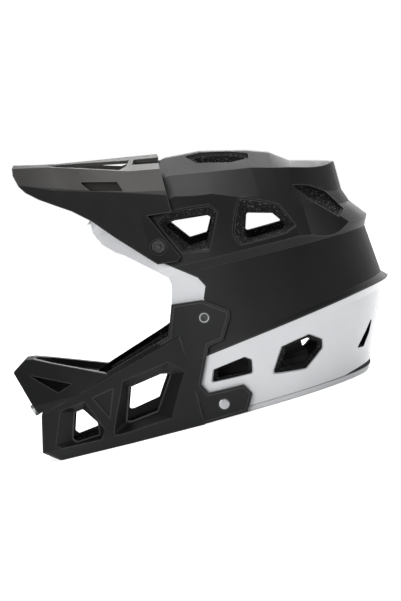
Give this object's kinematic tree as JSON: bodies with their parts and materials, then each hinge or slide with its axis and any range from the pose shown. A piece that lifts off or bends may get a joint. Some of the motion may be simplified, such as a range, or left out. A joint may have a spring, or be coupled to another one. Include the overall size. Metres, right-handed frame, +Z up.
{
  "type": "downhill bike full-face helmet",
  "caption": "Full-face downhill bike helmet with a tilting slotted visor, open vents, a wedge-fronted chin bar, foam liner, pads and a buckled chin strap.",
  "frame": {"origin": "centre of the footprint of the helmet stood on its base rim, at floor level", "axes": "+Z up, the face looks along -X, the helmet's own left side is at -Y"},
  "size_m": [0.3564, 0.2186, 0.2705],
  "materials": {
    "black_shell": "matt, very fine grain",
    "pale_shell": "satin to gloss cool white",
    "rim_rubber": "matt",
    "pale_rim": "satin cool white, as the lower shell",
    "foam": null,
    "mesh": "matt",
    "visor_shell": "satin warm grey band on a darker sheet",
    "dark_screw": "satin",
    "silver_screw": "brushed",
    "pad_cloth": "brushed knit over foam",
    "webbing": "woven nylon",
    "buckle": "satin moulded",
    "button": "satin moulded"
  },
  "bodies": {
    "helmet": {"upper_shell": "black_shell", "brow_shell": "pale_shell", "lower_shell": "pale_shell", "base_trim": "pale_rim", "eps_liner": "foam", "chin_liner": "foam", "chin_bar": "black_shell", "mouth_mesh": "mesh", "visor_screw_left": "dark_screw", "visor_screw_right": "dark_screw", "chin_screw_left": "silver_screw", "chin_screw_right": "silver_screw", "chin_stud_left": "silver_screw", "chin_stud_right": "silver_screw", "crown_pad": "pad_cloth", "brow_pad": "pad_cloth", "side_pad_left": "pad_cloth", "side_pad_right": "pad_cloth", "rear_pad": "pad_cloth", "cheek_pad_left": "pad_cloth", "cheek_pad_right": "pad_cloth", "strap_anchor_left": "buckle", "strap_anchor_right": "buckle"},
    "visor": {"visor": "visor_shell"},
    "chin_strap": {"strap_left": "webbing", "strap_right": "webbing", "buckle_socket": "buckle", "buckle_plug": "buckle", "strap_keeper": "rim_rubber", "strap_pad": "pad_cloth"},
    "buckle_button": {"buckle_button": "button"}
  },
  "joints": [
    {"name": "visor_tilt", "type": "hinge", "parent": "helmet", "child": "visor", "pos_m": [-0.01571, 0, 0.16536], "axis": [0, -1, 0], "range_deg": [0, 10]},
    {"name": "strap_swing", "type": "hinge", "parent": "helmet", "child": "chin_strap", "pos_m": [0.07497, 0, 0.084], "axis": [0, 1, 0], "range_deg": [-8, 8]},
    {"name": "buckle_button_press", "type": "slide", "parent": "chin_strap", "child": "buckle_button", "axis": [0, 0, 1], "range_m": [0, 0.0015], "stiffness_N_per_m": 400, "springref_m": -0.001}
  ]
}
